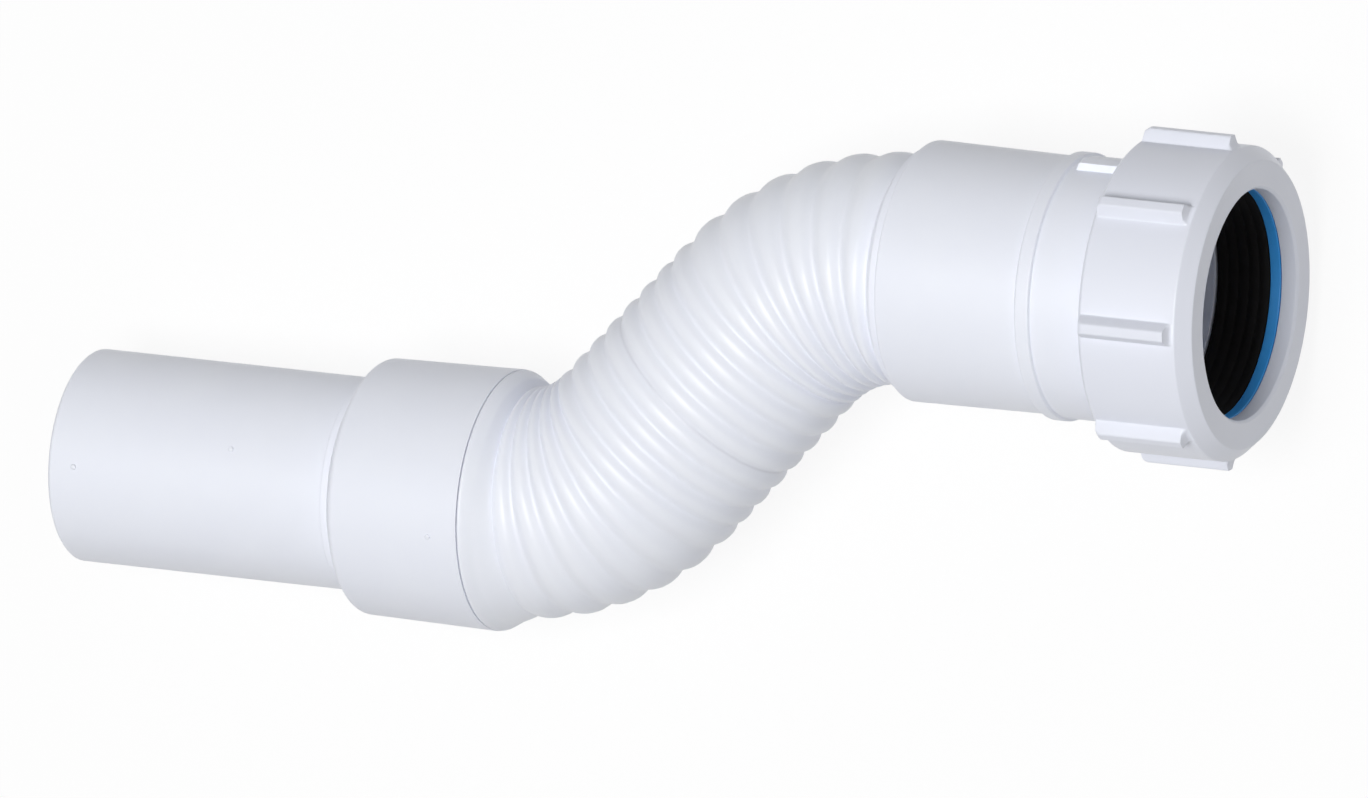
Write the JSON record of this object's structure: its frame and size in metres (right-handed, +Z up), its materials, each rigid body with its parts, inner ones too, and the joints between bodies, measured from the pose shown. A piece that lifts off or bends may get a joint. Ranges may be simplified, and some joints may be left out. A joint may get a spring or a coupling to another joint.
{
  "type": "flexible waste pipe",
  "caption": "Corrugated flexible waste pipe, bent in an S, with a plain spigot tail at one end and a ribbed compression nut at the other, for joining drain pipes out of line.",
  "frame": {"origin": "on the floor, under the middle of the pipe's box, as the pipe lies on its side", "axes": "+X from the spigot tail to the compression nut, +Y to the side that the connector is offset to, +Z up"},
  "size_m": [0.2424, 0.1098, 0.066],
  "materials": {
    "white_fittings": "satin moulded polypropylene",
    "white_hose": "satin moulded polypropylene",
    "white_nut": "satin moulded polypropylene",
    "black_rubber": "matte moulded rubber",
    "blue_washer": "satin moulded polyethylene"
  },
  "bodies": {
    "connector": {"connector_body": "white_fittings", "rubber_seal": "black_rubber"},
    "washer": {"slip_washer": "blue_washer"},
    "nut": {"compression_nut": "white_nut"},
    "hose": {"flexible_hose": "white_hose"},
    "tail": {"spigot_tail": "white_fittings"}
  },
  "joints": [
    {"name": "nut_travel", "type": "slide", "parent": "connector", "child": "washer", "axis": [0.9977, 0, 0.068], "range_m": [0, 0.01]},
    {"name": "nut_turn", "type": "hinge", "parent": "washer", "child": "nut", "pos_m": [0.10791, 0.02244, 0.03306], "axis": [0.9977, 0, 0.068], "range_deg": [0, 900.5]},
    {"name": "connector_bend", "type": "hinge", "parent": "connector", "child": "hose", "pos_m": [0.03249, 0.02244, 0.02792], "axis": [-0.0679, 0.055, 0.9962], "range_deg": [-48, 20], "deforming": ["flexible_hose"]},
    {"name": "tail_bend", "type": "hinge", "parent": "hose", "child": "tail", "pos_m": [-0.0143, -0.02971, 0.02761], "axis": [0.0679, -0.055, -0.9962], "range_deg": [-48, 20], "deforming": ["flexible_hose"]}
  ],
  "couplings": [
    {"joint": "nut_turn", "follows": "nut_travel", "rad_per_m": 1570.8}
  ]
}
